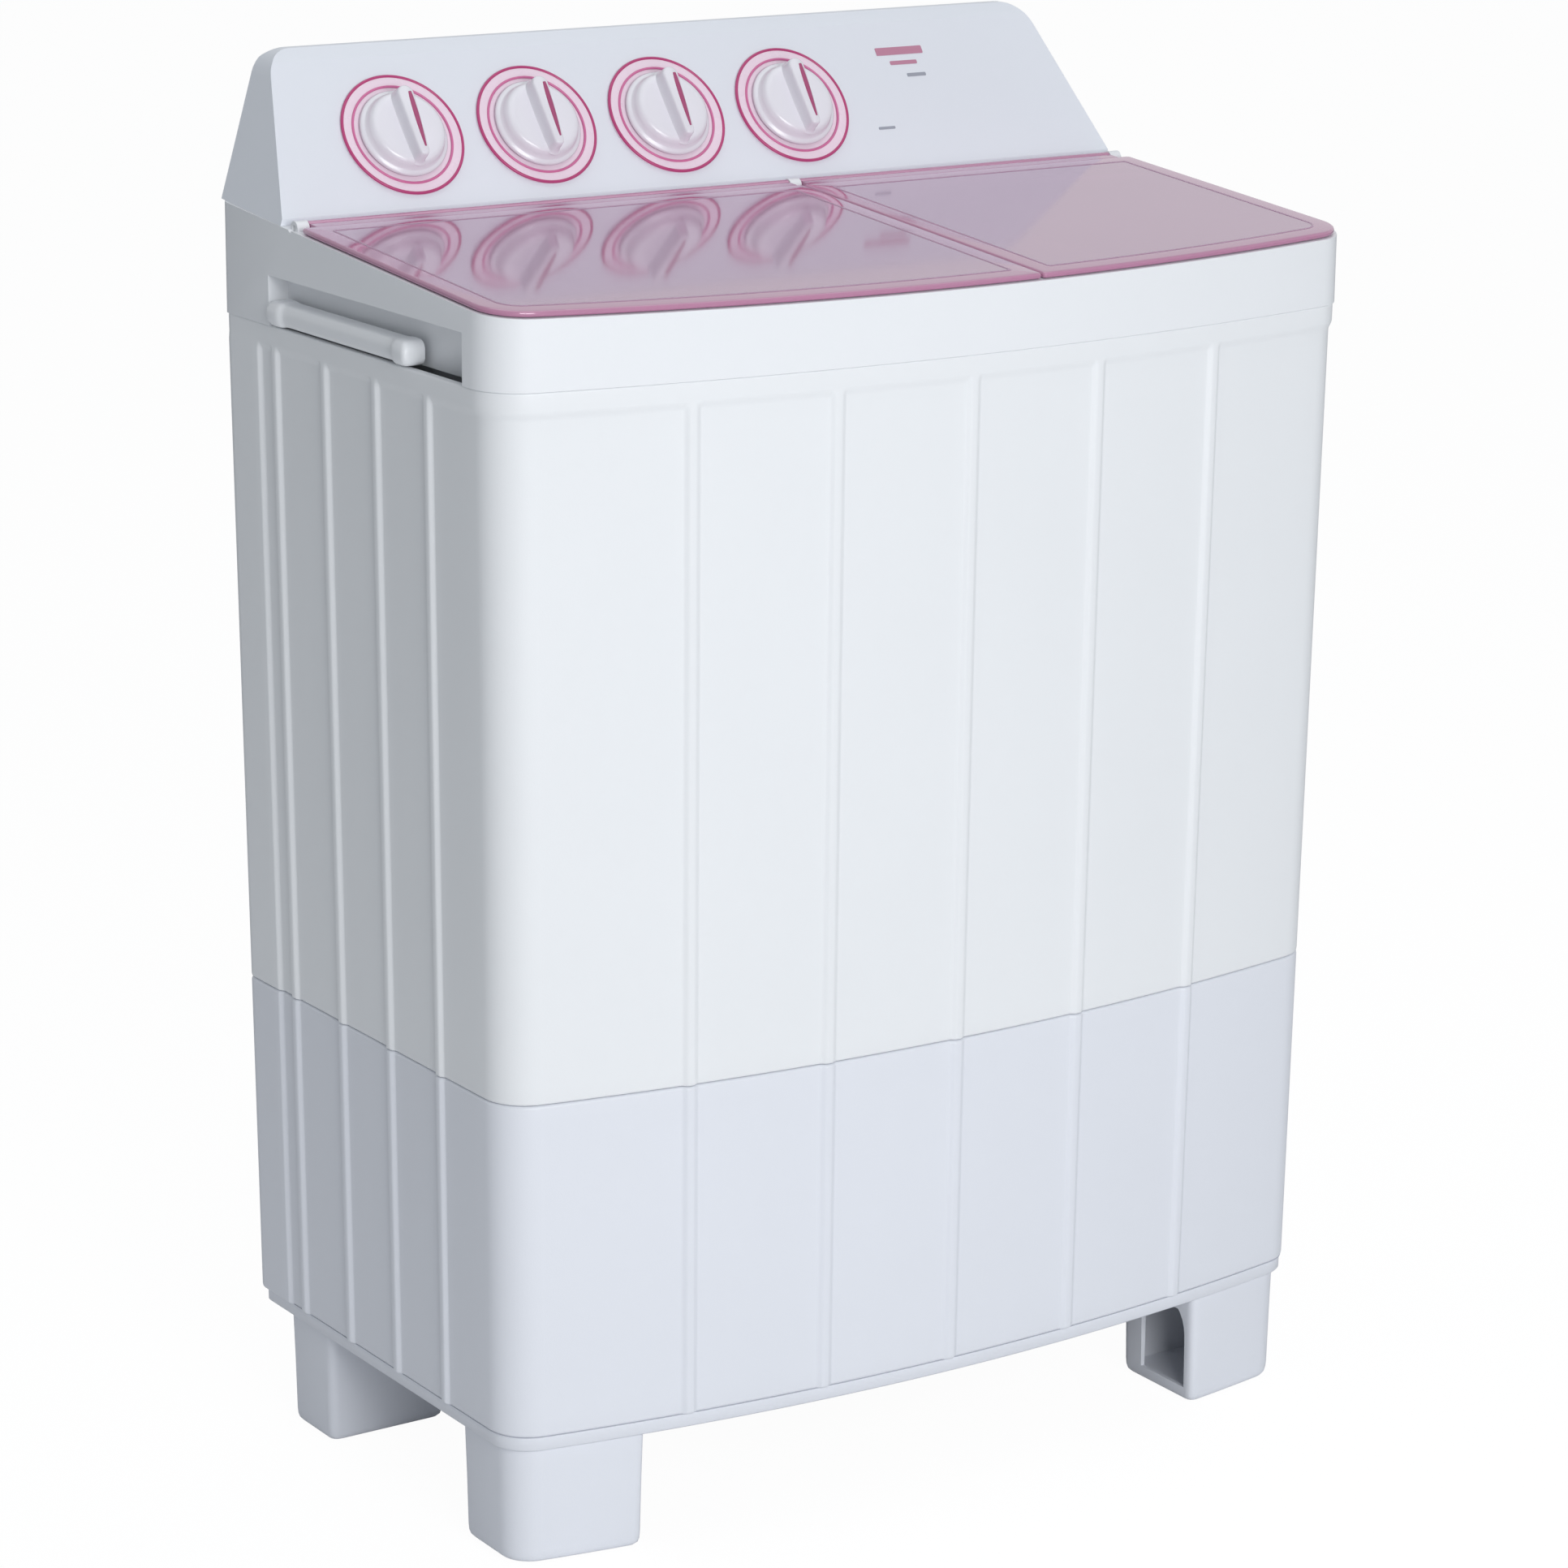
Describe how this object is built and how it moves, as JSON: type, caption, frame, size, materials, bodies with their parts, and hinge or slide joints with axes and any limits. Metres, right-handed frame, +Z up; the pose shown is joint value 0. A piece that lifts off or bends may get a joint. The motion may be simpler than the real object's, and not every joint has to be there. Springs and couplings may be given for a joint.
{
  "type": "twin tub washer",
  "caption": "Free-standing twin tub washer: ribbed two-piece body on moulded legs, two tinted lids over a wash tub and a spin tub, raked control panel with turning knobs.",
  "frame": {"origin": "centre of the footprint, on the floor under the feet", "axes": "+Z up, -Y towards the user at the front, +Y towards the back, +X towards the spin tub"},
  "size_m": [0.69, 0.398, 0.9645],
  "materials": {
    "base_plastic": "moulded, slightly bluish white",
    "cabinet_plastic": "satin moulded white",
    "top_plastic": "smooth glossy white",
    "panel_plastic": "smooth light grey-white",
    "lid_plastic": "tinted translucent pink-mauve",
    "pink_trim": "glossy pink",
    "knob_plastic": "glossy white",
    "tub_plastic": "pale blue-white polypropylene",
    "blue_plastic": "light blue polypropylene",
    "inner_plastic": "natural moulded plastic",
    "dark_rubber": "matt moulded rubber",
    "grey_plastic": "moulded grey",
    "hose_plastic": "flexible grey hose",
    "zinc_steel": "zinc plated",
    "motor_paint": "dark painted steel",
    "cast_metal": "die-cast",
    "cord_rubber": "cord sheath"
  },
  "bodies": {
    "machine": {"base": "base_plastic", "foot_pads": "dark_rubber", "cabinet": "cabinet_plastic", "top_frame": "top_plastic", "side_handles": "top_plastic", "console": "panel_plastic", "console_back": "panel_plastic", "console_screws": "zinc_steel", "back_cover": "grey_plastic", "back_cover_screws": "zinc_steel", "bottom_guard": "grey_plastic", "tub_set": "tub_plastic", "lid_hinge_pins": "zinc_steel", "knob_bezels": "pink_trim", "wash_timer": "inner_plastic", "wash_mode_switch": "inner_plastic", "spin_timer": "inner_plastic", "drain_selector": "inner_plastic", "buzzer": "dark_rubber", "gearbox": "cast_metal", "shaft_seal": "dark_rubber", "drive_belt": "dark_rubber", "wash_motor": "motor_paint", "motor_bracket": "zinc_steel", "bellows_seal": "dark_rubber", "brake_bracket": "zinc_steel", "spin_motor": "motor_paint", "motor_support": "motor_paint", "motor_dampers": "dark_rubber", "overflow_cover": "tub_plastic", "drain_valve": "inner_plastic", "drain_hose": "hose_plastic", "hose_clip": "top_plastic", "water_inlet": "inner_plastic", "lid_switch": "inner_plastic", "capacitor": "cast_metal", "wiring_harness": "cord_rubber", "power_cord": "cord_rubber"},
    "wash_lid": {"wash_lid": "lid_plastic"},
    "spin_lid": {"spin_lid": "lid_plastic"},
    "wash_timer_knob": {"wash_timer_knob": "knob_plastic"},
    "wash_mode_knob": {"wash_mode_knob": "knob_plastic"},
    "spin_timer_knob": {"spin_timer_knob": "knob_plastic"},
    "drain_knob": {"drain_knob": "knob_plastic"},
    "pulsator": {"pulsator": "blue_plastic", "pulsator_screw": "zinc_steel", "pulsator_shaft": "zinc_steel", "drive_pulley": "cast_metal"},
    "wash_motor_rotor": {"motor_pulley": "cast_metal"},
    "spin_rotor": {"spin_basket": "tub_plastic", "spin_shaft": "zinc_steel", "brake_drum": "cast_metal"},
    "spin_cap": {"spin_cap": "blue_plastic"},
    "brake_lever": {"brake_lever": "zinc_steel"},
    "drain_plunger": {"drain_plunger": "dark_rubber", "drain_strap": "inner_plastic"},
    "lint_filter": {"lint_filter": "blue_plastic"}
  },
  "joints": [
    {"name": "wash_lid_hinge", "type": "hinge", "parent": "machine", "child": "wash_lid", "pos_m": [-0.136, 0.098, 0.8584], "axis": [-1, 0, 0], "range_deg": [0, 92]},
    {"name": "spin_lid_hinge", "type": "hinge", "parent": "machine", "child": "spin_lid", "pos_m": [0.193, 0.098, 0.8584], "axis": [-1, 0, 0], "range_deg": [0, 92]},
    {"name": "wash_timer_knob_turn", "type": "hinge", "parent": "machine", "child": "wash_timer_knob", "pos_m": [-0.231, 0.1424, 0.90698], "axis": [0, -0.8192, 0.5736], "range_deg": [-300, 0]},
    {"name": "wash_mode_knob_turn", "type": "hinge", "parent": "machine", "child": "wash_mode_knob", "pos_m": [-0.1267, 0.1424, 0.90698], "axis": [0, -0.8192, 0.5736], "range_deg": [-60, 60]},
    {"name": "spin_timer_knob_turn", "type": "hinge", "parent": "machine", "child": "spin_timer_knob", "pos_m": [-0.0224, 0.1424, 0.90698], "axis": [0, -0.8192, 0.5736], "range_deg": [-300, 0]},
    {"name": "drain_knob_turn", "type": "hinge", "parent": "machine", "child": "drain_knob", "pos_m": [0.0819, 0.1424, 0.90698], "axis": [0, -0.8192, 0.5736], "range_deg": [-90, 0]},
    {"name": "pulsator_spin", "type": "hinge", "parent": "machine", "child": "pulsator", "pos_m": [-0.136, 0, 0.3], "axis": [0, 0, 1], "continuous": true},
    {"name": "wash_motor_spin", "type": "hinge", "parent": "machine", "child": "wash_motor_rotor", "pos_m": [0.022, 0.062, 0.24], "axis": [0, 0, 1], "continuous": true},
    {"name": "spin_basket_spin", "type": "hinge", "parent": "machine", "child": "spin_rotor", "pos_m": [0.19, 0, 0.3], "axis": [0, 0, 1], "continuous": true},
    {"name": "spin_cap_slide", "type": "slide", "parent": "spin_rotor", "child": "spin_cap", "axis": [0, 0, 1], "range_m": [-0.15, 0]},
    {"name": "brake_lever_turn", "type": "hinge", "parent": "machine", "child": "brake_lever", "pos_m": [0.122, 0.03, 0.293], "axis": [0, 0, 1], "range_deg": [0, 4]},
    {"name": "drain_plunger_slide", "type": "slide", "parent": "machine", "child": "drain_plunger", "axis": [0, 0, -1], "range_m": [-0.0141, 0]},
    {"name": "lint_filter_slide", "type": "slide", "parent": "machine", "child": "lint_filter", "axis": [0, 0, 1], "range_m": [0, 0.06]}
  ],
  "couplings": [
    {"joint": "wash_motor_spin", "follows": "pulsator_spin", "ratio": 4.596},
    {"joint": "brake_lever_turn", "follows": "spin_lid_hinge", "ratio": 0.0434},
    {"joint": "drain_plunger_slide", "follows": "drain_knob_turn", "m_per_rad": 0.0089}
  ]
}
